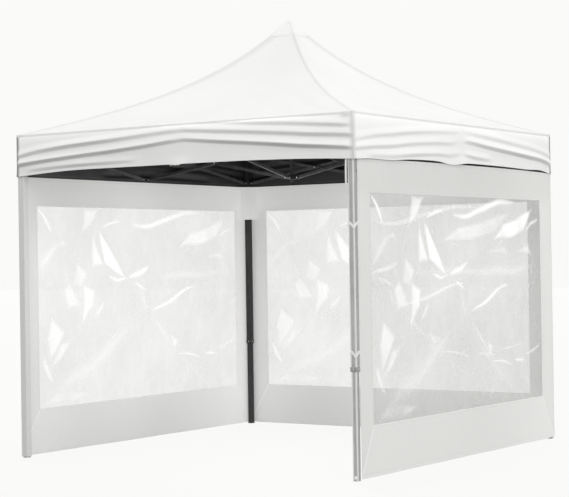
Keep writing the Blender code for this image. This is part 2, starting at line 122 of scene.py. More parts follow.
# Long folds of each valance: knots of (share along the side, share down from the eave, strength), in percent
FOLDS = {
    "front": (
        ((-100, 55, 70), (-87, 46, 60), (-67, 39, 75), (-40, 32, 75), (-14, 23, 45),
         (4, 18, 40), (42, 32, 50), (77, 46, 70), (100, 51, 40)),
        ((-100, 74, 80), (-67, 68, 100), (-39, 60, 100), (-17, 52, 70), (5, 41, 50),
         (28, 52, 90), (72, 71, 100), (100, 78, 60)),
        ((20, 4, 0), (45, 12, 30), (67, 19, 35), (96, 30, 55)),
        ((-90, 90, 30), (-60, 89, 50), (-25, 87, 30)),
    ),
    "right": (
        ((-100, 62, 20), (-77, 47, 25), (-50, 37, 30), (-22, 28, 25), (0, 22, 10),
         (30, 30, 30), (75, 45, 35), (100, 60, 30)),
        ((-100, 80, 30), (-64, 69, 40), (-15, 53, 25), (-2, 46, 0), (5, 46, 40),
         (24, 54, 80), (46, 61, 90), (69, 67, 85), (100, 79, 60)),
        ((-85, 95, 25), (-50, 91, 35), (-22, 84, 30), (0, 75, 15)),
        ((0, 78, 30), (13, 86, 40), (28, 88, 25)),
    ),
    "back": (
        ((-100, 58, 40), (-50, 37, 60), (-5, 20, 30), (40, 33, 60), (100, 55, 50)),
        ((-100, 78, 60), (-50, 62, 80), (-5, 44, 30), (50, 63, 80), (100, 77, 50)),
    ),
    "left": (
        ((-100, 56, 50), (-40, 35, 60), (5, 21, 30), (60, 40, 50), (100, 54, 50)),
        ((-100, 77, 60), (-40, 61, 80), (5, 45, 40), (50, 60, 70), (100, 76, 50)),
        ((-60, 91, 30), (-20, 86, 40), (30, 90, 30)),
    ),
}
# A fold's depth, half the height of its quick drop and the reach of the slow rise above it, in metres
FOLD_DEPTH, FOLD_HALF, FOLD_REACH = 0.028, 0.015, 0.050
# Where the folds of a side meet, how far the hem curls out there and the share of the folds lost there
KINKS = {"front": (0.03, 0.01, 0.25), "right": (0.0, 0.006, 0.85), "back": (-0.05, 0.008, 0.5),
         "left": (0.05, 0.006, 0.5)}
# Slack places of each hem: share along the side, half width as a share, and drop in metres
SAGS = {
    "front": ((0.02, 0.03, 0.008), (-0.65, 0.25, -0.006)),
    "right": ((-0.68, 0.13, 0.011), (-0.1, 0.1, 0.02), (0.86, 0.1, -0.012)),
    "back": ((0.1, 0.1, 0.006),),
    "left": ((-0.15, 0.1, 0.006),),
}
# Painted shade of each valance beside its two corners
CORNER_SHADE = {"front": (1.0, 0.2), "right": (0.2, 1.0), "back": (0.3, 0.3), "left": (0.3, 0.3)}
# The painted shade line down each corner: the shares along a side between which it grows
CORNER_LINE = (0.975, 0.992)
# The front valance's patch of painted shade by its right corner: share along and down, reach of both, and
# strength
SHADE_PATCH = ((0.96, 0.07), (0.03, 0.07), 0.35)
# Painted light, as emission, for light that comes through each wall from outside: everywhere, towards its two
# ends and above its window
THROUGH = {"left": (0.14, 0.22, 0.8, 0.2), "back": (0.12, 0.35, 0.1, 0.36), "right": (0.2, -0.06, 0.26, -0.2)}
SLEEVE_LIGHT = 0.20  # and through the inner end of the left wall's turned-in strip

# Creases of the clear windows, in centimetres from the window's middle and above the ground
# Thin glints, painted reflections: points, half width in millimetres, brightness in percent
STREAKS = (
    (((-128, 190), (-122, 182), (-115, 168)), 12, 90),
    (((-53, 174), (-38, 178), (-26, 179)), 10, 60),
    (((-16, 176), (8, 178), (41, 184), (85, 189)), 18, 85),
    (((104, 165), (112, 171), (127, 174)), 12, 60),
    (((-47, 135), (-34, 131), (-22, 132)), 10, 55),
    (((-22, 132), (-6, 138), (8, 145)), 18, 60),
    (((-14, 129), (2, 123)), 9, 50),
    (((7, 105), (42, 117), (74, 125)), 11, 70),
    (((11, 99), (41, 76)), 18, 22),
    (((14, 92), (66, 52), (98, 37)), 26, 12),
    (((45, 68), (78, 63)), 8, 50),
    (((80, 67), (98, 67)), 10, 50),
    (((98, 71), (127, 78)), 10, 40),
    (((-17, 94), (-38, 85), (-64, 67), (-94, 53), (-117, 41)), 55, 22),
    (((20, 134), (61, 134), (112, 139)), 30, 22),
    (((-127, 140), (-110, 158), (-102, 162)), 30, 25),
    (((-62, 102), (-50, 116)), 20, 30),
    (((-124, 75), (-112, 52)), 20, 40),
    (((2, 102), (-4, 122)), 10, 25),
)
# Flat shards between creases, painted reflections: corners, brightness in percent
SHARDS = (
    (((-74, 190), (-56, 190), (-66, 178), (-78, 170)), 55),
    (((51, 159), (64, 171), (115, 183), (100, 166)), 95),
    (((92, 151), (107, 154), (110, 147)), 70),
    (((-62, 169), (-66, 145), (-54, 144)), 90),
    (((-54, 170), (-51, 145), (-27, 133)), 100),
    (((-83, 148), (-73, 140), (-78, 127), (-89, 128)), 40),
    (((-77, 130), (-64, 125), (-65, 113), (-77, 98)), 70),
    (((-99, 124), (-92, 130), (-81, 111), (-97, 110)), 35),
    (((-107, 160), (-100, 164), (-96, 160)), 60),
    (((-116, 105), (-99, 93), (-116, 70), (-120, 89)), 45),
    (((-104, 84), (-88, 86), (-105, 70), (-118, 62)), 35),
    (((36, 85), (46, 81), (41, 73)), 60),
    (((-110, 46), (-68, 46), (-87, 38), (-126, 36)), 25),
)
# Small random creases with painted reflections: middle, direction, length, brightness
NICKS = [(np.array([RNG.uniform(-1.2, 1.2), RNG.uniform(0.42, 1.84)]), RNG.uniform(0.0, math.pi),
          RNG.uniform(0.03, 0.16), RNG.uniform(0.1, 0.32)) for _ in range(46)]


class Wire:
    """A shader socket on which Python's operators add Math nodes."""

    def __init__(self, finish, socket):
        self.finish = finish
        self.socket = socket

    def _math(self, operation, first, second):
        return self.finish.node("Math", {"operation": operation}, {0: first, 1: second})

    def __add__(self, other):
        return self._math("ADD", self, other)

    def __sub__(self, other):
        return self._math("SUBTRACT", self, other)

    def __mul__(self, other):
        return self._math("MULTIPLY", self, other)

    def __abs__(self):
        return self._math("ABSOLUTE", self, 0.0)


class Finish:
    """A Principled material built by expressions."""

    def __init__(self, name, **fixed):
        self.material = bpy.data.materials.new(name)
        self.material.use_nodes = True
        self.tree = self.material.node_tree
        self.shader = self.tree.nodes["Principled BSDF"]
        for socket, value in fixed.items():
            self.feed(socket.replace("_", " "), value)

    def node(self, kind, settings=(), sockets=(), output=0):
        """Add a node: its settings first, then the values or links of its sockets."""
        made = self.tree.nodes.new("ShaderNode" + kind)
        for key, value in dict(settings).items():
            setattr(made, key, value)
        for key, value in dict(sockets).items():
            self.join(made.inputs[key], value)
        return Wire(self, made.outputs[output])

    def join(self, socket, value):
        """Set a socket, or link a wire to it. One number for a colour means that grey."""
        if isinstance(value, Wire):
            self.tree.links.new(value.socket, socket)
        elif socket.type == "RGBA":
            socket.default_value = (*(value if isinstance(value, tuple) else 3 * (value,)), 1.0)
        else:
            socket.default_value = value

    def feed(self, socket, value):
        """Give the Principled shader's socket a value or a wire."""
        self.join(self.shader.inputs[socket], value)

    def place(self):
        """Object coordinates."""
        return self.node("TexCoord", output="Object")

    def base(self):
        """The colour that the shader has so far."""
        return Wire(self, self.shader.inputs["Base Color"].links[0].from_socket)

    def split(self, vector):
        """A vector's three parts."""
        first = self.node("SeparateXYZ", {}, {0: vector})
        return [Wire(self, output) for output in first.socket.node.outputs]

    def noise(self, scale, detail=3.0, stretch=(1.0, 1.0, 1.0), rough=0.5):
        """Noise from 0 to 1 on object coordinates, with features of 1/scale metres."""
        mapped = self.node("Mapping", {}, {"Vector": self.place(), "Scale": stretch})
        return self.node("TexNoise", {}, {
            "Vector": mapped, "Scale": scale, "Detail": detail, "Roughness": rough})

    def between(self, value, low, high, out_low=0.0, out_high=1.0):
        """Map a value from one range to another, clamped."""
        return self.node("MapRange", {"clamp": True}, {
            0: value, 1: low, 2: high, 3: out_low, 4: out_high})

    def mix(self, share, first, second):
        """Mix two colours."""
        return self.node("Mix", {"data_type": "RGBA"}, {0: share, 6: first, 7: second}, 2)

    def attribute(self, name):
        """A number stored on the mesh."""
        return self.node("Attribute", {"attribute_name": name}, output="Fac")

    def cloth_map(self):
        """The cloth's own map in metres: across and along."""
        return self.split(self.node("UVMap", {"uv_map": "cloth"}))[:2]

    def sine(self, value):
        """The sine of a value in radians."""
        return self.node("Math", {"operation": "SINE"}, {0: value})

    def bump(self, height, strength=1.0):
        """Feed the shader's normal from a height in metres."""
        self.feed("Normal", self.node("Bump", {}, {
            "Height": height, "Distance": 1.0, "Strength": strength}))


def cloth_finish(name, colour, shade, thread, rough=0.6, weave=0.0011):
    """Coated polyester: cloudy mottling, plain weave, soft handling creases and darker stitch lines.

    The weave is the product of a sine across and a sine along the cloth's map. Where the attribute
    called stitch is 1, dashes 5 mm long show in the thread's colour and sink into the cloth.
    """
    made = Finish(name, Metallic=0.0, IOR=1.45, Sheen_Weight=0.06)
    across, along = made.cloth_map()
    turn = 2 * math.pi
    threads = made.sine(across * (turn / weave)) * made.sine(along * (turn / weave))
    dashes = made.between(made.sine((across + along) * (turn / 0.005)), -0.3, 0.1)
    line = made.between(made.attribute("stitch"), 0.55, 0.85)
    sewn = line * dashes
    clouds = made.noise(1.7, 4.0)
    fine = made.noise(38.0, 4.0)
    mottle = made.between(clouds * 0.75 + fine * 0.25, 0.35, 0.65)
    cloth = made.mix(mottle, colour, shade)
    made.feed("Base Color", made.mix(line * 0.45 + sewn * 0.35, cloth, thread))
    made.feed("Roughness", made.between(fine, 0.3, 0.7, rough - 0.08, rough + 0.08))
    creases = made.noise(7.0, 5.0, rough=0.6)
    made.bump(creases * 0.0035 + threads * 0.00005 - sewn * 0.0006, 0.6)
    return made


def cover_painted_shading(made):
    """Hip seams and corners darkened as painted shade, fold drops painted shade, crests painted highlight,
    and painted light by the eave.
    """
    seam = made.between(made.attribute("hip"), 0.006, 0.018, 0.4, 0.0)
    fold_shading = made.attribute("fold_shading")
    shaded_drops = made.mix(made.between(fold_shading, -1.0, 0.0, 0.9, 0.0), made.base(), (0.60, 0.60, 0.605))
    painted_highlight = made.mix(made.between(fold_shading, 0.0, 1.0), shaded_drops, 0.95)
    seamed = made.mix(seam, painted_highlight, 0.62)
    made.feed("Base Color", made.mix(made.attribute("edge"), seamed, 0.30))
    made.feed("Emission Color", made.mix(made.attribute("glow"), 0.0, 1.0))
    made.feed("Emission Strength", 0.22)


def wall_bands(made, colour):
    """A lighter lower band between mitred seams, painted shade on the turned strip, and painted light for
    light through the wall.
    """
    mitre = made.attribute("mitre")
    low = made.between(mitre, -0.001, 0.001)
    seam = made.between(abs(mitre), 0.002, 0.007, 1.0, 0.0)
    banded = made.mix(low * 0.6, made.base(), colour)
    sewn = made.mix(seam * 0.7, banded, 0.97)
    made.feed("Base Color", made.mix(made.attribute("turned"), sewn, (0.68, 0.68, 0.675)))
    made.feed("Emission Color", made.mix(made.attribute("lit"), 0.0, (1.0, 1.0, 0.985)))
    made.feed("Emission Strength", 0.25)


def film_finish():
    """Clear soft film: see-through, cloudy by noise, and whiter, more solid and glowing where it glints, as a
    painted reflection.
    """
    made = Finish("clear_film", Metallic=0.0, IOR=1.45, Emission_Strength=0.30)
    glint = made.attribute("glint")
    haze = made.noise(2.2, 5.0, rough=0.55)
    smear = made.noise(9.0, 4.0, stretch=(1.0, 1.0, 0.5))
    cloud = haze * 0.7 + smear * 0.3
    made.feed("Base Color", made.mix(made.between(glint, 0.0, 0.3), (0.62, 0.62, 0.61), 0.95))
    made.feed("Emission Color", made.mix(made.between(glint, 0.0, 0.7), 0.0, 1.0))
    made.feed("Roughness", made.between(cloud, 0.3, 0.7, 0.22, 0.36))
    made.feed("Alpha", made.between(cloud, 0.35, 0.65, 0.20, 0.36) + glint * 0.55)
    made.bump(made.noise(11.0, 3.0) * 0.0015, 0.5)
    return made.material


def steel_finish(name, colour, worn, rough, metallic=0.5, half=None, shine=0.5):
    """Powder-coated steel tube: fine orange peel, faint rub marks and long streaks along the tube.

    With half, half a leg's width, the leg's four edges get a painted highlight: near an edge the two
    distances from the leg's middle lines add up to almost twice that.
    """
    made = Finish(name, Metallic=metallic, Specular_IOR_Level=shine)
    streak = made.noise(34.0, 4.0, stretch=(1.0, 1.0, 0.06))
    speck = made.noise(700.0, 2.0)
    scuff = made.noise(16.0, 5.0, rough=0.7)
    share = made.between(streak * 0.6 + scuff * 0.4, 0.42, 0.62)
    coat = made.mix(share, colour, worn)
    if half:
        across, back = (abs(abs(part) - LEG_CENTRE) for part in made.split(made.place())[:2])
        painted_highlight = made.between(across + back + streak * 0.004, 2 * half - 0.009, 2 * half - 0.004)
        coat = made.mix(painted_highlight * 0.8, coat, 0.78)
    made.feed("Base Color", coat)
    made.feed("Roughness", made.between(scuff, 0.3, 0.7, rough - 0.10, rough + 0.10))
    made.bump(speck * 0.00018 + streak * 0.0002, 0.6)
    return made.material


def plastic_finish(name, colour, pale, rough):
    """Moulded nylon: fine grain with slightly scuffed, paler patches."""
    made = Finish(name, Metallic=0.0)
    grain = made.noise(1400.0, 2.0)
    scuff = made.noise(60.0, 5.0)
    made.feed("Base Color", made.mix(made.between(scuff, 0.5, 0.75), colour, pale))
    made.feed("Roughness", made.between(scuff, 0.3, 0.8, rough, rough + 0.15))
    made.bump(grain * 0.0003, 0.6)
    return made.material


def webbing_finish(name, colour, shade):
    """Woven strap: ribs across its width from a sine along it, fuzzed by noise."""
    made = Finish(name, Metallic=0.0, Roughness=0.8, Sheen_Weight=0.1)
    across, along = made.cloth_map()
    ribs = made.sine(across * (2 * math.pi / 0.0024))
    fuzz = made.noise(400.0, 3.0)
    made.feed("Base Color", made.mix(made.between(ribs * 0.3 + fuzz, 0.2, 0.9), colour, shade))
    made.bump(ribs * 0.0002 + fuzz * 0.0003, 0.8)
    return made.material


@contextmanager
def edited(mesh):
    """A mesh opened for editing and written back afterwards."""
    bm = bmesh.new()
    bm.from_mesh(mesh)
    yield bm
    bm.to_mesh(mesh)
    bm.free()


def placed(name, mesh):
    """A new object in the scene."""
    item = bpy.data.objects.new(name, mesh)
    bpy.context.scene.collection.objects.link(item)
    return item


def lengths_along(line):
    """How far each point of a line is from its start, along it."""
    return np.append(0.0, np.cumsum(np.linalg.norm(np.diff(line, axis=0), axis=1)))


def surface(name, points, closed=False, keep=None, cap=False, values=None, flip=False):
    """A mesh from a grid of points, rows by columns by three, or from a stack of such grids.

    Neighbouring rows and columns make the faces. closed joins the last column to the first, keep is
    a mask of the faces that stay, and cap closes each grid's first row with one point in its middle.
    The map called cloth runs in metres along the middle row and column. values are a lone grid's fields.
    """
    stack = points if points.ndim == 4 else points[None]
    count, rows, columns = stack.shape[:3]
    size = rows * columns
    index = np.arange(count * size).reshape(count, rows, columns)
    right = np.roll(index, -1, axis=2) if closed else index[:, :, 1:]
    left = index if closed else index[:, :, :-1]
    faces = np.stack([left[:, :-1], right[:, :-1], right[:, 1:], left[:, 1:]], axis=-1)
    faces = faces.reshape(-1, 4) if keep is None else faces[0][keep]
    across, down = lengths_along(stack[0, rows // 2]), lengths_along(stack[0, :, columns // 2])[:, None]
    flat = np.tile(grid(across, down, 0.0)[..., :2].reshape(-1, 2), (count, 1))
    vertices = stack.reshape(-1, 3)
    tops = np.zeros((0, 3), int)
    if cap:
        centres = np.arange(count)[:, None] + len(vertices)
        vertices = np.vstack([vertices, stack[:, 0].mean(axis=1)])
        flat = np.vstack([flat, np.zeros((count, 2))])
        tops = grid(right[:, 0], left[:, 0], centres).reshape(-1, 3)
    if flip:
        faces, tops = faces[:, ::-1], tops[:, ::-1]
    mesh = bpy.data.meshes.new(name)
    mesh.from_pydata(vertices.tolist(), [], faces.tolist() + tops.tolist())
    layer = mesh.uv_layers.new(name="cloth")
    corners = np.zeros(len(mesh.loops), np.int32)
    mesh.loops.foreach_get("vertex_index", corners)
    layer.data.foreach_set("uv", flat[corners].astype(np.float32).ravel())
    for key, field in (values or {}).items():
        stored = mesh.attributes.new(key, "FLOAT", "POINT")
        whole = np.zeros(len(vertices), np.float32)
        whole[:size] = np.broadcast_to(field, (rows, columns)).ravel()
        stored.data.foreach_set("value", whole)
    mesh.shade_smooth()
    item = placed(name, mesh)
    with edited(mesh) as bm:
        bmesh.ops.delete(bm, geom=[vert for vert in bm.verts if not vert.link_faces], context="VERTS")
    return item


def finish_piece(item, materials, body=BODY, replaces=(), thickness=None, offset=0.0):
    """Give a piece its thickness, its materials and the body that it rides on.

    A second material goes on a sheet's inner side. With offset -1 the thickness lies inside the
    modelled surface, and with 0 on both of its sides.
    """
    if thickness:
        wall = item.modifiers.new("thickness", "SOLIDIFY")
        wall.thickness, wall.offset, wall.material_offset = thickness, offset, len(materials) - 1
    for one in materials:
        item.data.materials.append(one)
    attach(item, body)
    if replaces:
        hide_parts(*replaces)


def smooth(value, low, high):
    """A smooth step from 0 at low to 1 at high."""
    share = np.clip((value - low) / (high - low), 0.0, 1.0)
    return share * share * (3.0 - 2.0 * share)


def bell(value, width):
    """A bell that is 1 at 0 and falls away over width."""
    return np.exp(-(value / width) ** 2)


def grid(across, back, height):
    """A grid of points from three coordinates, each a row, a column or a whole grid."""
    return np.stack(np.broadcast_arrays(across, back, height), axis=-1)


def turn_quarter(points, quarters):
    """Turn points about the vertical by quarter turns."""
    return points @ np.linalg.matrix_power([[0, -1, 0], [1, 0, 0], [0, 0, 1]], quarters).T


def four_sides(panel):
    """The front panel's grid and its three quarter turns, joined into one that closes."""
    return np.concatenate([turn_quarter(panel, side) for side in range(4)], axis=1)


def marked(low, high, spacing, lines):
    """Places from low to high about spacing apart, with three close together at each line."""
    even = np.linspace(low, high, max(2, round((high - low) / spacing) + 1))
    near = np.array([line + step for line in lines for step in (-STITCH, 0.0, STITCH)])
    clear = even[np.abs(even[:, None] - np.array(lines)).min(axis=1) > 1.5 * STITCH]
    ends = [low, low + RIM, high - RIM, high]
    return np.unique(np.concatenate([clear, near[(near >= low) & (near <= high)], ends]))


def stitch_field(values, lines):
    """1 on each line and 0 from STITCH beside it."""
    away = np.min([np.abs(values - line) for line in lines], axis=0)
    return 1.0 - np.clip(away / STITCH, 0.0, 1.0)


def rounded_side(share, half, radius):
    """Plan of the front side from the middle of one rounded corner to the middle of the next.

    share runs from -1 to 1. The straight stretch ends one radius before each corner, where an eighth
    of a circle follows. Returned are the places across and towards the back, and the outward direction.
    """
    straight = half - radius
    run = share * (straight + radius * math.pi / 4)
    turn = np.clip(np.abs(run) - straight, 0.0, None) / radius
    across = np.sign(run) * (np.minimum(np.abs(run), straight) + radius * np.sin(turn))
    return across, -(straight + radius * np.cos(turn)), np.sign(run) * np.sin(turn), -np.cos(turn)


def crowded(count, power):
    """Shares from -1 to 1 that crowd towards both ends."""
    even = np.linspace(-1.0, 1.0, count)
    return np.sign(even) * (1.0 - (1.0 - np.abs(even)) ** power)


def hip_height(reach):
    """The CAD's hip: a straight slope mixed with a curve that steepens towards the peak."""
    fade = math.exp(-HALF / ROOF_CURVE_LENGTH)
    curve = (np.exp(-reach / ROOF_CURVE_LENGTH) - fade) / (1.0 - fade)
    share = ROOF_CURVE_SHARE * curve + (1.0 - ROOF_CURVE_SHARE) * (1.0 - reach / HALF)
    return EAVE + (PEAK - EAVE) * share


def roof_height(reach, share):
    """The hips' curve less a sag midway along each panel."""
    down = reach / HALF
    return hip_height(reach) - PANEL_SAG * 4.0 * down * (1.0 - down) * (1.0 - share ** 2)


def valance_foot(side, along):
    """The valance's lower edge: an arch that is flattest in the middle, less the slack places."""
    sag = sum(drop * bell(along - place, width) for place, width, drop in SAGS[side])
    sag = sag * smooth(1.0 - np.abs(along), 0.0, 0.08)
    return FOOT_CORNER + HEM_RISE[side] * (1.0 - np.abs(along) ** 3) - sag


def roof():
    """The pointed roof: square rings from the peak to the eave, whose corners are rounded.

    Height is the hips' curve less the panels' sag, plus a low felled seam along each hip, creases that
    fan out from the lower corners and a slack crease above each eave. The last rings make the lip that
    is sewn over the valances.
    """
    rings = np.linspace(0.0, 1.0, 74)[:, None] ** 1.2
    reach = 0.012 + (HALF - 0.012) * rings
    share = crowded(121, 1.6)[None, :-1]
    down = reach / HALF
    across, back, _, _ = rounded_side(share, reach, CORNER_RADIUS * down)
    height = roof_height(reach, share)
    inward = 1.0 - np.abs(share)
    hip = inward * reach / math.sqrt(2)
    height = height + 0.0018 * bell(hip, 0.012)
    low_part = smooth(down, 0.25, 0.8) * smooth(1.0 - down, 0.0, 0.12)
    fan = np.sin(24.0 * inward ** 0.6 * (0.25 + down) + 1.3 * np.sign(share))
    height = height + 0.0045 * fan * low_part * bell(inward, 0.55) * smooth(inward, 0.01, 0.2)
    arch = 1.0 - share ** 2
    height = height - 0.006 * arch * bell(1.0 - down - 0.05 - 0.05 * arch, 0.035)
    panel = grid(across, back, height)
    across, back, out_x, out_y = rounded_side(share, HALF, CORNER_RADIUS)
    out, below = np.array(LIP).T[..., None]
    panel = np.concatenate([panel, grid(across + out * out_x, back + out * out_y, EAVE - below)])
    hip = np.vstack([hip, np.repeat(hip[-1:], len(LIP), axis=0)])
    # The hip field carries the painted shade of the hip seams
    hips = np.concatenate([np.where(way * share > 0, OUTLINE_HIP * hip, hip)
                           for way in (-1, 1, -1, 1)], axis=1)
    item = surface("cover_roof", four_sides(panel), closed=True, cap=True, flip=True, values={"hip": hips})
    finish_piece(item, [cover_outside, cover_inside], replaces=["canopy"], thickness=CLOTH,
                 offset=-1.0)


def peak_patch():
    """The square reinforcement sewn over the peak, just outside the roof."""
    share = np.linspace(-1.0, 1.0, 33)[None, :-1]
    reach = np.linspace(0.006, PATCH_REACH, 16)[:, None]
    across, back, _, _ = rounded_side(share, reach, 0.004)
    panel = grid(across, back, roof_height(reach, share) + PATCH_LIFT)
    item = surface("peak_patch", four_sides(panel), closed=True, cap=True, flip=True,
                   values={"stitch": stitch_field(reach, reach[-3])})
    finish_piece(item, [patch_cloth], thickness=CLOTH, offset=-1.0)


def fold_line(knots, along):
    """A fold's level and strength along a side, rounded by averaging over a short stretch.

    Beyond the ends of its knots, unless they lie at a corner, the fold fades out.
    """
    places, levels, strengths = np.array(knots).T / 100
    steps = np.linspace(-0.04, 0.04, 7)
    level, strength = (np.mean([np.interp(along + step, places, line) for step in steps], axis=0)
                       for line in (levels, strengths))
    start = smooth(along, places[0] - 0.06, places[0] + 0.04) if places[0] > -1.0 else 1.0
    end = smooth(-along, -places[-1] - 0.06, -places[-1] + 0.04) if places[-1] < 1.0 else 1.0
    return level, strength * start * end


def valance_lean(side, along, down):
    """How far the valance leans out: long folds, each a slow rise to its crest and a quick drop below.

    The folds weaken where they meet, next to the corners and at the eave, and the hem curls out where
    they meet. The second value is painted shading: above 0 for painted highlight on the crests and below
    0 for painted shade in the drops.
    """
    kink, curl, loss = KINKS[side]
    lean = np.zeros(np.broadcast(along, down).shape)
    fold_shading = np.zeros(lean.shape)
    for order, knots in enumerate(FOLDS[side]):
        level, strength = fold_line(knots, along)
        strength = strength * (1.0 + 0.12 * np.sin(7.0 * along + 2.1 * order))
        away = (down - level) * DROP
        rise = smooth(away, -FOLD_HALF - FOLD_REACH, -FOLD_HALF)
        fall = smooth(away, -FOLD_HALF, FOLD_HALF)
        lean += FOLD_DEPTH * strength * rise * (1.0 - fall)
        depth = away / FOLD_HALF
        dark = smooth(depth, -1.15, -0.5) * smooth(-depth, -1.3, -0.5)
        crest = bell(depth + 1.6, 0.55)
        fold_shading += strength * (0.8 * crest - dark)
    clear = 1.0 - loss * bell(along - kink, 0.035)
    lean *= clear * smooth(1.0 - np.abs(along), 0.0, 0.03) * smooth(down * DROP, 0.008, 0.03)
    hem = smooth(down, 0.75, 1.0)
    lean += hem * (curl * bell(along - kink, 0.05) + 0.003 * np.sin(9.0 * along + 1.0) ** 2)
    return lean, np.clip(fold_shading * clear, -1.0, 1.0)


def valance(side, number):
    """One valance: a strip that hangs from the eave round to the middle of its two corners."""
    share = crowded(221, 1.25)[None, :]
    hem_row = 1.0 - HEM / DROP
    step = STITCH / DROP
    down = np.concatenate([np.linspace(0.0, hem_row - step, 58), [hem_row, hem_row + step],
                           np.linspace(hem_row + step, 1.0, 6)[1:-1],
                           [1.0 - 0.5 * step, 1.0]])[:, None]
    across, back, out_x, out_y = rounded_side(share, HALF, CORNER_RADIUS)
    height = EAVE + (valance_foot(side, share) - EAVE) * down
    lean, fold_shading = valance_lean(side, share, down)
    lean = lean + 0.0008 * smooth(down, hem_row, hem_row + 0.5 * step)
    stitch = 1.0 - np.clip(np.abs(down - hem_row) / step, 0.0, 1.0)
    panel = grid(across + out_x * lean, back + out_y * lean, height)
    # edge is painted shade down the corners, and on the front also a patch of it by the right corner; hip is
    # the corners' painted seam shade; glow is painted light below the eave, kept off that shade
    left, right = CORNER_SHADE[side]
    edge = left * smooth(-share, *CORNER_LINE) + right * smooth(share, *CORNER_LINE)
    if side == "front":
        (place, level), (wide, tall), strength = SHADE_PATCH
        edge = edge + strength * bell(share - place, wide) * bell(down - level, tall) * (share > 0)
    glow = 1.2 * np.exp(-down / 0.15) + (0.25 if side == "right" else 0.0)
    item = surface(f"cover_valance_{side}", turn_quarter(panel, number), flip=True, values={
        "stitch": stitch, "hip": (1.0 - np.abs(share)) * HALF, "fold_shading": fold_shading, "edge": edge,
        "glow": glow * (1.0 - np.clip(1.2 * edge, 0.0, 1.0))})
    finish_piece(item, [cover_outside, cover_inside], replaces=["canopy"], thickness=CLOTH,
                 offset=-1.0)


def side_line(along):
    """Plan of a side wall's middle plane, just outside both legs."""
    low, high = np.array(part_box("window_right"))
    slope = (high[0] - low[0] - FILM) / (high[1] - low[1])
    return (low[0] + high[0]) / 2 + slope * along


def sleeve_path():
    """Knots of the left wall's plan: along its line, then across and towards the back.

    It starts behind its front leg, runs forward inside the leg, turns across the leg's front and turns
    again to run back outside it.
    """
    bend = -WALL_MIDDLE_BACK
    front = side_line(bend) - SLEEVE_INSIDE
    return np.array([
        (bend - front + bend - SLEEVE_START, -SLEEVE_INSIDE, SLEEVE_START),
        (bend - front, -SLEEVE_INSIDE, bend),
        (bend, -side_line(bend), bend),
        (WALL_MIDDLE_BACK - 0.002, -side_line(WALL_MIDDLE_BACK), WALL_MIDDLE_BACK - 0.002)])


def wall_ends(side):
    """Where a wall starts and ends along its own line, in metres from the middle of its side."""
    if side == "back":
        return WALL_LOW[0], WALL_HIGH[0]
    return sleeve_path()[0, 0] if side == "left" else RIGHT_WALL_START, WALL_MIDDLE_BACK - 0.002


def wall_plan(side, along):
    """Plan of a wall's middle plane, and its outward direction.

    along runs from left to right as the photograph shows the wall. The left wall's bends are rounded
    by averaging its path over a short stretch, and its outward direction is square to that path.
    """
    if side == "back":
        return along, WALL_MIDDLE_BACK, 0.0, 1.0
    if side == "right":
        return side_line(along), along, 1.0, 0.0
    knots = sleeve_path()
    steps = np.linspace(-0.004, 0.004, 5)
    before, here, after = (
        [np.mean([np.interp(along + step + turn, knots[:, 0], line) for step in steps], axis=0)
         for line in knots[:, 1:].T] for turn in (-0.001, 0.0, 0.001))
    way_x, way_y = after[0] - before[0], after[1] - before[1]
    length = np.hypot(way_x, way_y)
    return *here, -way_y / length, way_x / length


def wall_wave(side, along, height):
    """Shallow waves of a wall, still beside the legs and at the top, and livelier towards the hem."""
    seed = {"left": 0.0, "back": 2.0, "right": 4.0}[side]
    low, high = wall_ends(side)
    still = smooth(along, low + 0.06, low + 0.45) * smooth(-along, -high + 0.06, -high + 0.45)
    wave = 0.0030 * np.sin(2.1 * along + 0.6 * height + seed)
    wave = wave + 0.0016 * np.sin(5.3 * along - 1.1 * height + 1.7 * seed)
    hem = 0.0045 * np.sin(7.0 * along + seed) * bell(height - WALL_LOW[2], 0.35)
    return (wave * smooth(WALL_HIGH[2] - height, 0.0, 0.5) + hem) * still


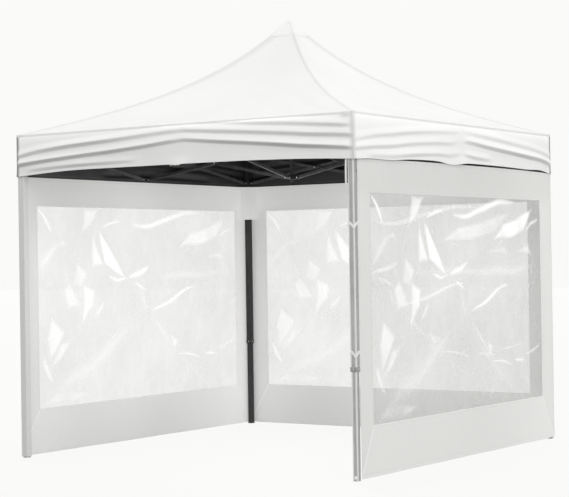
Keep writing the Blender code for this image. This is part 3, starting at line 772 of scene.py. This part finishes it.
def wall(side):
    """One wall: cloth round a window opening, with hems, mitred lower corners and sewn bands."""
    low, high = wall_ends(side)
    start = max(low, -WALL_MIDDLE_BACK)
    bottom, top = WINDOW_LOW[2] - WINDOW_GAP, WINDOW_HIGH[2] + WINDOW_GAP
    edge = WINDOW_HALF + WINDOW_GAP
    hem_left, hem_right, hem_low, hem_top = low + HEM, high - HEM, WALL_LOW[2] + HEM, WALL_HIGH[2] - HEM
    rim, rim_low, rim_top = edge + WINDOW_RIM, bottom - WINDOW_RIM, top + WINDOW_RIM
    bends = tuple(bend + step for bend in sleeve_path()[1:3, 0] for step in (-0.005, 0.0, 0.005))
    columns = (hem_left, -rim, -edge, edge, rim, hem_right, *WALL_SEAMS) + (bends if side == "left" else ())
    rows = (hem_low, rim_low, bottom, top, rim_top, hem_top)
    along = marked(low, high, WALL_SPACING, columns)[None, :]
    up = marked(WALL_LOW[2], WALL_HIGH[2], WALL_SPACING, rows)[:, None]
    across, back, out_x, out_y = wall_plan(side, along)
    stitch = np.maximum.reduce(np.broadcast_arrays(
        stitch_field(along, (hem_left, hem_right)), stitch_field(up, (hem_low, hem_top)),
        stitch_field(along, (-rim, rim)) * (up > rim_low - STITCH) * (up < rim_top + STITCH),
        stitch_field(up, (rim_low, rim_top)) * (np.abs(along) < rim + STITCH),
        stitch_field(along, WALL_SEAMS) * (up > rim_top)))
    rise = bottom - WALL_LOW[2]
    slant = math.hypot(start + edge, rise)
    left = ((along - start) * rise - (up - WALL_LOW[2]) * (-edge - start)) / slant
    right = ((high - along) * rise - (up - WALL_LOW[2]) * (high - edge)) / slant
    mitre = np.minimum.reduce(np.broadcast_arrays(left, right, bottom - up))
    # lit is painted light, as emission, for light through the wall; turned is the strip turned round the
    # front leg, which gets painted shade
    through, near, far, over_window = THROUGH[side]
    lit = through + near * smooth(-along, 0.7, 1.5) + far * smooth(along, 0.2, 1.5)
    lit = lit + over_window * smooth(up, top - 0.1, top + 0.1)
    beyond = -along - WALL_MIDDLE_BACK
    turned = smooth(beyond, -0.004, 0.004)
    lit = lit * (1.0 - turned) + SLEEVE_LIGHT * smooth(beyond, 0.050, 0.056)
    offset = wall_wave(side, along, up) + 0.0007 * bell(mitre, 0.012) - 0.0003 * stitch
    arch = RIGHT_WALL_RISE if side == "right" else 0.0
    height = up + arch * smooth(up, top, WALL_HIGH[2]) * (1.0 - np.abs(along / high) ** 3)
    points = grid(across + out_x * offset, back + out_y * offset, height)
    middle_along = (along[:, 1:] + along[:, :-1]) / 2
    middle_up = (up[1:] + up[:-1]) / 2
    hole = (np.abs(middle_along) < edge) & (middle_up > bottom) & (middle_up < top)
    item = surface(f"wall_cloth_{side}", points, keep=~hole, flip=side == "back",
                   values={"stitch": stitch, "mitre": mitre, "turned": turned, "lit": lit})
    if side == "left":
        item.data.flip_normals()
    finish_piece(item, [wall_cloth], replaces=[f"wall_{side}"], thickness=CLOTH)
    size = (float(high - low), float(WALL_HIGH[2] - WALL_LOW[2]))


def streak_field(along, up, knots, width):
    """Brightness of a thin crease: a bell about the line through its knots that fades to both ends."""
    lengths = [math.dist(a, b) for a, b in zip(knots, knots[1:])]
    field = np.zeros(np.broadcast(along, up).shape)
    passed = 0.0
    for (start, end), length in zip(zip(knots, knots[1:]), lengths):
        way = np.subtract(end, start) / length
        run = np.clip((along - start[0]) * way[0] + (up - start[1]) * way[1], 0.0, length)
        away = np.hypot(along - start[0] - run * way[0], up - start[1] - run * way[1])
        share = (passed + run) / sum(lengths)
        taper = np.sqrt(np.clip(4.0 * share * (1.0 - share), 0.02, 1.0))
        field = np.maximum(field, bell(away, width * taper) * taper)
        passed += length
    return field


def shard_field(along, up, corners):
    """Depth inside a convex shard: the distance to its nearest edge, positive inside."""
    following = np.roll(corners, -1, axis=0)
    area = np.sum(corners[:, 0] * following[:, 1] - following[:, 0] * corners[:, 1])
    depth = np.full(np.broadcast(along, up).shape, 1.0)
    for start, end in zip(corners, following):
        way = (end - start) / np.linalg.norm(end - start) * np.sign(area)
        depth = np.minimum(depth, (up - start[1]) * way[0] - (along - start[0]) * way[1])
    return depth


def window(side):
    """One window: a sheet of clear film in the wall's plane with sharp creases and bright shards.

    The film stands proud along each crease and over each shard, and the attribute called glint holds
    their painted reflection. Small random nicks, from a seeded generator, fill the rest.
    """
    edge = WINDOW_HALF + FILM_MARGIN
    along = np.linspace(-edge, edge, FILM_COLUMNS)[None, :]
    up = np.linspace(WINDOW_LOW[2] - FILM_MARGIN, WINDOW_HIGH[2] + FILM_MARGIN, FILM_ROWS)[:, None]
    glint, relief = np.zeros((2, FILM_ROWS, FILM_COLUMNS))
    bend = 0.014 * np.sin(9.0 * up + 2.0 * np.sin(4.0 * along)) + 0.004 * np.sin(19.0 * up + 3.0)
    lift = 0.014 * np.sin(8.0 * along + 1.5 * np.sin(5.0 * up)) + 0.004 * np.sin(17.0 * along + 1.0)
    bent = (along + bend, up + lift)
    for knots, width, bright in STREAKS:
        knots, width, bright = np.array(knots) / 100, width / 1000, bright / 100
        field = streak_field(*bent, knots, 1.2 * width)
        glint = np.maximum(glint, bright * field)
        relief += 0.0012 * bright * streak_field(*bent, knots, 1.8 * width + 0.02)
    uneven = 0.8 + 0.2 * np.sin(19.0 * along + 11.0 * up)
    for corners, bright in SHARDS:
        depth = shard_field(*bent, np.array(corners) / 100)
        glint = np.maximum(glint, bright / 100 * uneven * smooth(depth, -0.020, 0.030))
        relief += 0.0016 * smooth(depth, -0.02, 0.06)
    for place, turn, length, bright in NICKS:
        reach = np.array([math.cos(turn), math.sin(turn)]) * length / 2
        field = streak_field(along, up, (place - reach, place + reach), 0.006)
        glint = np.maximum(glint, bright * field)
        relief += 0.0005 * field
    inset = np.minimum(edge - np.abs(along), np.minimum(up - WINDOW_LOW[2], WINDOW_HIGH[2] - up))
    near_edge = smooth(inset, 0.008, 0.03)
    offset = wall_wave(side, along, up) + relief * near_edge
    across, back, out_x, out_y = wall_plan(side, along)
    points = grid(across + out_x * offset, back + out_y * offset, up)
    item = surface(f"window_film_{side}", points, flip=side == "back", values={"glint": glint})
    if side == "left":
        item.data.flip_normals()
    finish_piece(item, [clear_film], replaces=[f"window_{side}"])


def square_loop(run, half, radius):
    """The point of a square with rounded corners that is run metres round from its front side's middle."""
    straight = 2 * (half - radius)
    quarter = straight + radius * math.pi / 2
    start = np.floor((run + quarter / 2) / quarter)
    rest = run - start * quarter
    turn = np.clip(np.abs(rest) - straight / 2, 0.0, None) / radius
    across = np.sign(rest) * (np.minimum(np.abs(rest), straight / 2) + radius * np.sin(turn))
    out = -(straight / 2 + radius * np.cos(turn))
    angle = start * math.pi / 2
    return np.cos(angle) * across - np.sin(angle) * out, np.sin(angle) * across + np.cos(angle) * out


def loop_length(half, radius):
    """The length of that square's outline."""
    return 4 * 2 * (half - radius) + 2 * math.pi * radius


def leg_strap(corner, level, height):
    """A hook-and-loop strap round a front leg: once round, then over its own start.

    The path is a rounded square that steps out by its own thickness where it overlaps. It is 25 mm
    wide and slightly fuller in its middle, and it has slipped down at the leg's front edge.
    """
    way_x, way_y = CORNERS[corner]
    half = OUTER_HALF + 0.0012
    around = loop_length(half, STRAP_BEND)
    run = np.linspace(-0.016, around + 0.010, 150)[None, :]
    lift = 0.0018 * smooth(run, around - 0.05, around - 0.03)
    up = np.linspace(-1.0, 1.0, 9)[:, None]
    full = 0.0005 * (1.0 - up ** 4)
    across, out = square_loop(run, half + lift + full, STRAP_BEND)
    slip = 0.006 - 0.024 * bell(run - 0.020, 0.018)
    points = grid(way_x * LEG_CENTRE + across, way_y * LEG_CENTRE + out, height + slip + STRAP_WIDTH / 2 * up)
    item = surface(f"strap_{corner}_{level}", points)
    finish_piece(item, [white_webbing], thickness=STRAP_THICKNESS)


def strap_tail():
    """The loose end of the wall's top tie, which hangs down beside the front right leg."""
    up = np.linspace(0.0, 1.0, 40)[:, None]
    wide = np.linspace(-1.0, 1.0, 7)[None, :]
    away = 0.004 + 0.005 * np.sin(math.pi * up) + 0.004 * up ** 3
    across = LEG_CENTRE - OUTER_HALF - 0.0085 + TAIL_WIDTH / 2 * wide * (1.0 - 0.1 * up)
    back = -LEG_CENTRE - OUTER_HALF - away + 0.0008 * wide ** 2
    item = surface("strap_tail_front_right", grid(across, back, TAIL_TOP - TAIL_LENGTH * up + 0.003 * wide))
    finish_piece(item, [white_webbing], thickness=STRAP_THICKNESS)


def corner_flap(side, way):
    """The flap of the back wall that crosses a back corner in front of the leg, slack at its foot."""
    corner = LEG_CENTRE - OUTER_HALF - 0.0012
    share = np.linspace(-1.0, 1.0, 25)[None, :]
    up = marked(FLAP_FOOT, WALL_HIGH[2], 0.014, (FLAP_FOOT + FLAP_HEM,))[:, None]
    sag = 0.004 * (1.0 - share ** 2) * smooth(WALL_HIGH[2] - up, 0.0, 0.2) * np.abs(np.sin(9.0 * up))
    across = corner + FLAP_REACH * share - sag
    back = corner - FLAP_REACH * share - sag
    limit = side_line(back) - 0.0022
    points = grid(way * np.minimum(across, limit), np.minimum(back, WALL_MIDDLE_BACK - 0.0012), up)
    stitch = stitch_field(up, (FLAP_FOOT + FLAP_HEM,))
    # lit is painted light, as emission, for light through the flap
    item = surface(f"corner_flap_{side}", points, flip=way > 0,
                   values={"stitch": stitch, "mitre": -1.0, "lit": 0.6})
    finish_piece(item, [wall_cloth], replaces=["wall_back"], thickness=CLOTH)


def dome_stack(centres, normals, radius, height):
    """Rivet heads: a quarter ellipse turned about each normal, standing on a short straight side."""
    angle = np.linspace(0.0, 2 * math.pi, 16, endpoint=False)[None, :]
    level = np.append(np.linspace(0.12, 1.0, 5), 1.0)[:, None] * math.pi / 2
    ring = radius * np.sin(level)
    lift = height * (0.35 + 0.65 * np.cos(level))
    lift[-1] = 0.0
    normals = np.array(normals, float)[:, None, None]
    first = np.cross(normals, (0.0, 0.0, 1.0))
    second = np.cross(normals, first)
    local = (first * (ring * np.cos(angle))[..., None] + second * (ring * np.sin(angle))[..., None]
             + normals * lift[..., None])
    return np.array(centres, float)[:, None, None] + local


def domes(name, places, ways, radius, height, material, body=BODY, quarters=0):
    """A piece made of rivet heads, with its faces turned outwards."""
    points = turn_quarter(dome_stack(places, ways, radius, height), quarters)
    item = surface(name, points, closed=True, cap=True)
    with edited(item.data) as bm:
        bmesh.ops.recalc_face_normals(bm, faces=bm.faces)
    finish_piece(item, [material], body)


def crossing(first, second):
    """Where two straight bars cross, each given by two (along, height) points."""
    (x1, z1), (x2, z2) = first
    (x3, z3), (x4, z4) = second
    solve = np.linalg.solve([[x2 - x1, x3 - x4], [z2 - z1, z3 - z4]], [x3 - x1, z3 - z1])
    return x1 + solve[0] * (x2 - x1), z1 + solve[0] * (z2 - z1)


def rivets(side, number):
    """The rivet heads of one side: at the pins of its bars and arms and where bars cross."""
    leg_pin = LEG_CENTRE - LEG_PIN
    face = BAR_FACE + FORK
    places, ways = [], []
    for way in (-1, 1):
        falling = ((way * leg_pin, UPPER_PIN), (way * MIDDLE_PIN, LOWER_PIN))
        rising = ((way * leg_pin, SLIDER_PIN), (way * MIDDLE_PIN, UPPER_PIN))
        pins = [(along, height, face) for along, height in (*falling, *rising)]
        pins.append((*crossing(falling, rising), BAR_FACE))
        for along, height, out in pins:
            places += [(along, -LEG_CENTRE - out, height), (along, -LEG_CENTRE + out, height)]
            ways += [(0, -1, 0), (0, 1, 0)]
    start = -LEG_CENTRE + ARM_PIN
    arms = (((start, UPPER_PIN), (-HUB_PIN, HUB_LOWER)), ((start, LOWER_PIN), (-HUB_PIN, HUB_UPPER)))
    pins = [(along, height, face) for arm in arms for along, height in arm]
    pins.append((*crossing(*arms), BAR_FACE))
    for along, height, out in pins:
        places += [(-out, along, height), (out, along, height)]
        ways += [(-1, 0, 0), (1, 0, 0)]
    domes(f"rivets_{side}", places, ways, 0.006, 0.003, zinc, quarters=number)


def leg_buttons(corner):
    """Snap buttons of a leg, by the collar and under the slider: on its inner faces, or on all four."""
    way_x, way_y = CORNERS[corner]
    places, ways = [], []
    for height, half in ((BUTTON_LOW, COLLAR_HALF + 0.001), (BUTTON_HIGH, OUTER_HALF)):
        faces = [(-way_x, 0), (0, -way_y)] + ([(0, way_y), (way_x, 0)] if corner == "front_right" else [])
        places += [(way_x * LEG_CENTRE + x * half, way_y * LEG_CENTRE + y * half, height) for x, y in faces]
        ways += [(x, y, 0) for x, y in faces]
    domes(f"buttons_{corner}", places, ways, 0.0055, 0.004, zinc)


def foot_eyelet():
    """The bright eyelet at the foot of the front right leg, which rides on the lower leg."""
    place = (LEG_CENTRE + 0.004, -LEG_CENTRE - INNER_HALF + 0.001, 0.021)
    domes("eyelet_front_right", [place], [(0.25, -0.97, 0)], 0.013, 0.006, pale_zinc,
          "lower_leg_front_right")


def collar_ring(corner):
    """The plastic guide ring round the outer leg's lower end, with rounded rims."""
    way_x, way_y = CORNERS[corner]
    around = np.linspace(0.0, 1.0, 97)[None, :-1]
    half = COLLAR_HALF + 0.0006
    profile = np.array([(-0.0008, 0.0), (0.0006, 0.0008), (0.001, 0.003), (0.001, 0.027), (0.0006, 0.0302),
                        (-0.0012, 0.0312), (-0.0026, 0.0312)])
    out, lift = profile[:, :1], profile[:, 1:]
    across, back = square_loop(around * loop_length(half, COLLAR_BEND), half, COLLAR_BEND)
    scale = 1.0 + out / half
    points = grid(way_x * LEG_CENTRE + across * scale, way_y * LEG_CENTRE + back * scale, COLLAR_FOOT + lift)
    item = surface(f"collar_ring_{corner}", points, closed=True)
    finish_piece(item, [grey_plastic if way_y < 0 else black_plastic], thickness=0.0006,
                 offset=-1.0)


def softened(node, material, width, body=BODY):
    """A copy of a CAD node with its doubled points merged and its edges rounded."""
    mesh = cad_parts[node].data.copy()
    with edited(mesh) as bm:
        bmesh.ops.remove_doubles(bm, verts=bm.verts, dist=0.00001)
        bmesh.ops.dissolve_limit(bm, angle_limit=math.radians(1.0), verts=bm.verts, edges=bm.edges)
    mesh.materials.clear()
    item = placed(f"{node}_finish", mesh)
    rounding = item.modifiers.new("rounding", "BEVEL")
    rounding.width, rounding.segments = width, 3
    rounding.limit_method = "ANGLE"
    rounding.angle_limit = math.radians(35.0)
    mesh.shade_smooth()
    mesh.set_sharp_from_angle(angle=math.radians(40.0))
    finish_piece(item, [material], body, replaces=[node])


def camera():
    """The photograph's camera: moved to its place, then turned by its heading, tilt and roll."""
    data = bpy.data.cameras.new("camera")
    data.sensor_fit = "HORIZONTAL"
    data.lens = CAMERA_FOCAL / PHOTO_WIDTH * data.sensor_width
    data.clip_end = 200.0
    item = placed("camera", data)
    item.matrix_world = Matrix.Translation(CAMERA_PLACE)
    for degrees, axis in ((-CAMERA_HEADING, "Z"), (90.0 + CAMERA_TILT, "X"), (CAMERA_ROLL, "Z")):
        item.matrix_world = item.matrix_world @ Matrix.Rotation(math.radians(degrees), 4, axis)
    bpy.context.scene.camera = item


def stage_plane(name, height, finish):
    """A wide level plane that belongs to the stage."""
    mesh = bpy.data.meshes.new(name)
    with edited(mesh) as bm:
        bmesh.ops.create_grid(bm, x_segments=1, y_segments=1, size=60.0)
        bmesh.ops.translate(bm, vec=(0.0, 0.0, height), verts=bm.verts)
    item = placed(name, mesh)
    mesh.materials.append(finish.material)
    return item


def studio():
    """A pale lit floor over a grey one that only soft light sees, a white surround and large soft lamps."""
    pale = Finish("floor", Roughness=0.9, Base_Color=0.01, Emission_Color=(1.0, 1.0, 0.985),
                  Emission_Strength=0.885)
    floor = stage_plane("floor", 0.0, pale)
    floor.visible_diffuse = False
    grey = Finish("underfloor", Roughness=0.9, Base_Color=0.25)
    under = stage_plane("underfloor", -0.02, grey)
    under.visible_camera = False
    world = bpy.data.worlds.new("surround")
    world.use_nodes = True
    world.node_tree.nodes["Background"].inputs["Color"].default_value = (0.956, 0.956, 0.939, 1.0)
    bpy.context.scene.world = world
    bpy.context.scene.view_settings.view_transform = "Standard"
    for name, (place, size, power) in LAMPS.items():
        lamp = bpy.data.lights.new(name, "POINT" if name == "inside" else "AREA")
        if name == "inside":
            lamp.shadow_soft_size = size
        else:
            lamp.size = size
        lamp.energy = power
        item = placed(name, lamp)
        item.location = place
        item.visible_camera = False
        item.rotation_euler = (Vector((0, 0, 1.5)) - Vector(place)).to_track_quat("-Z", "Y").to_euler()


camera()
studio()
cover_made = cloth_finish("cover_outside", 0.895, 0.86, 0.70)
cover_painted_shading(cover_made)
cover_outside = cover_made.material
patch_cloth = cloth_finish("patch_cloth", 0.91, 0.89, 0.82).material
cover_inside = cloth_finish("cover_inside", (0.012, 0.012, 0.013), 0.02, 0.05, 0.5).material
wall_made = cloth_finish("wall_cloth", (0.78, 0.78, 0.77), (0.75, 0.75, 0.74), 0.60)
wall_bands(wall_made, (0.82, 0.82, 0.81))
wall_cloth = wall_made.material
white_webbing = webbing_finish("white_webbing", 0.94, 0.84)
clear_film = film_finish()
bright_steel = steel_finish("bright_steel", (0.36, 0.36, 0.365), 0.46, 0.35, half=OUTER_HALF)
lower_steel = steel_finish("lower_steel", (0.36, 0.36, 0.365), 0.46, 0.35, half=INNER_HALF)
# The back legs' steel is a darkened copy of the legs' steel: painted shade
dark_steel = steel_finish("dark_steel", (0.03, 0.03, 0.032), 0.05, 0.4)
truss_steel = steel_finish("truss_steel", (0.06, 0.06, 0.062), 0.09, 0.7, 0.0, shine=0.1)
zinc = steel_finish("zinc", (0.45, 0.45, 0.46), 0.60, 0.3, 0.9)
pale_zinc = steel_finish("pale_zinc", 0.80, 0.88, 0.35, 0.2)
black_plastic = plastic_finish("black_plastic", 0.012, 0.03, 0.45)
grey_plastic = plastic_finish("grey_plastic", 0.30, 0.38, 0.5)

roof()
peak_patch()
for order, side_name in enumerate(SIDES):
    valance(side_name, order)
    rivets(side_name, order)
for side_name in ("left", "back", "right"):
    wall(side_name)
    window(side_name)
corner_flap("back_left", -1)
corner_flap("back_right", 1)
for corner_name in CORNERS:
    collar_ring(corner_name)
    if corner_name != "front_left":
        leg_buttons(corner_name)
foot_eyelet()
for corner_name in ("front_right", "front_left"):
    for level_name, strap_height in STRAP_LEVELS.items():
        leg_strap(corner_name, level_name, strap_height)
strap_tail()
for node in list(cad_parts):
    if "_bar_" in node or "_arm_" in node:
        softened(node, truss_steel, 0.002)
    elif node.startswith(("corner_bracket", "slider", "middle_", "hub", "mast")):
        softened(node, black_plastic, 0.0015)
    elif node.startswith("leg_"):
        # The back legs take the darkened steel, painted shade
        dark = "_back_" in node
        body = "lower_leg" + node.removeprefix("leg_inner") if node.startswith("leg_inner") else BODY
        steel = dark_steel if dark else lower_steel if node.startswith("leg_inner") else bright_steel
        softened(node, steel, 0.0035, body)
